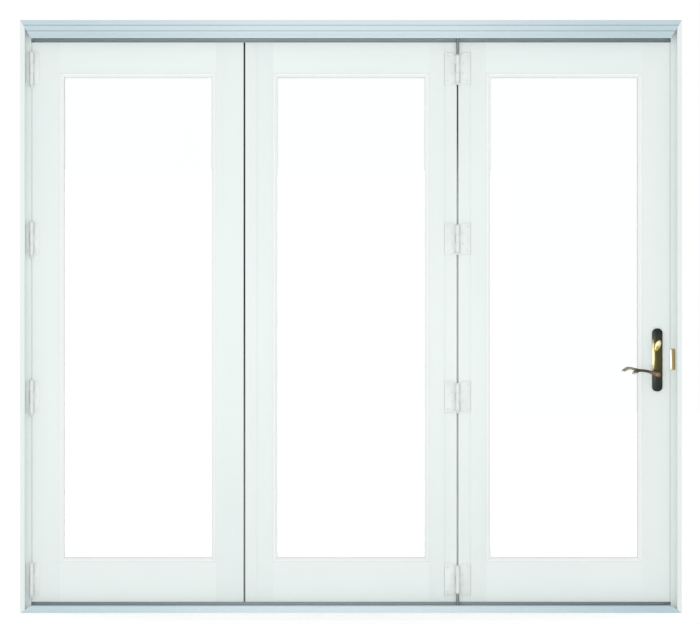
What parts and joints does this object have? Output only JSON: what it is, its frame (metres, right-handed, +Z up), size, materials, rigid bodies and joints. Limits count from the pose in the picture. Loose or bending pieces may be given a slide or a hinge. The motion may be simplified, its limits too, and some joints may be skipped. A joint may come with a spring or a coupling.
{
  "type": "bifold glass patio door",
  "caption": "White bifold patio door in a wall frame: tall glazed leaves hinged side by side, with a lever handle and thumb turn.",
  "frame": {"origin": "centre of the sill's underside", "axes": "+X along the wall, to the right as seen from the room; +Y towards the garden; +Z up"},
  "size_m": [2.35, 0.154, 2.105],
  "materials": {
    "white_vinyl": "satin",
    "anodised_aluminium": "satin anodised",
    "track_aluminium": "mill",
    "spacer_aluminium": "mill",
    "clear_glass": "clear",
    "black_rubber": "matte",
    "white_powder_coat": "powder coated",
    "zinc_plated_steel": "zinc plated",
    "black_acetal": "satin",
    "oil_rubbed_bronze": "oil rubbed",
    "polished_brass": "polished",
    "lock_steel": "brushed"
  },
  "bodies": {
    "door": {"panel_1_left_stile": "white_vinyl", "panel_1_right_stile": "white_vinyl", "panel_1_top_rail": "white_vinyl", "panel_1_bottom_rail": "white_vinyl", "panel_1_front_beads": "white_vinyl", "panel_1_back_beads": "white_vinyl", "panel_1_glass": "clear_glass", "panel_2_left_stile": "white_vinyl", "panel_2_right_stile": "white_vinyl", "panel_2_top_rail": "white_vinyl", "panel_2_bottom_rail": "white_vinyl", "panel_2_front_beads": "white_vinyl", "panel_2_back_beads": "white_vinyl", "panel_2_glass": "clear_glass", "panel_3_left_stile": "white_vinyl", "panel_3_right_stile": "white_vinyl", "panel_3_top_rail": "white_vinyl", "panel_3_bottom_rail": "white_vinyl", "panel_3_front_beads": "white_vinyl", "panel_3_back_beads": "white_vinyl", "panel_3_glass": "clear_glass", "left_jamb": "white_vinyl", "right_jamb": "white_vinyl", "head_frame": "anodised_aluminium", "sill": "anodised_aluminium", "head_track": "track_aluminium", "sill_track": "track_aluminium", "glass_spacers": "spacer_aluminium", "weather_seals": "black_rubber", "edge_seals": "white_vinyl", "jamb_hinges": "white_powder_coat", "back_hinges": "white_powder_coat", "front_hinges": "white_powder_coat", "hinge_pins": "white_powder_coat", "top_carrier": "zinc_plated_steel", "bottom_guide": "zinc_plated_steel", "track_rollers": "black_acetal", "front_escutcheon": "oil_rubbed_bronze", "back_escutcheon": "oil_rubbed_bronze", "key_cylinder": "polished_brass", "strike_plate": "polished_brass", "mortise_lock": "lock_steel"},
    "lever_handle": {"front_lever": "oil_rubbed_bronze", "back_lever": "oil_rubbed_bronze"},
    "thumb_turn_knob": {"thumb_turn": "polished_brass"}
  },
  "joints": [
    {"name": "lever_turn", "type": "hinge", "parent": "door", "child": "lever_handle", "pos_m": [1.089, 0, 0.846], "axis": [0, -1, 0], "range_deg": [0, 45], "stiffness_Nm_per_rad": 0.6, "springref_deg": -28.65},
    {"name": "thumb_turn_lock", "type": "hinge", "parent": "door", "child": "thumb_turn_knob", "pos_m": [1.089, 0, 0.948], "axis": [0, -1, 0], "range_deg": [-63, 27]}
  ]
}
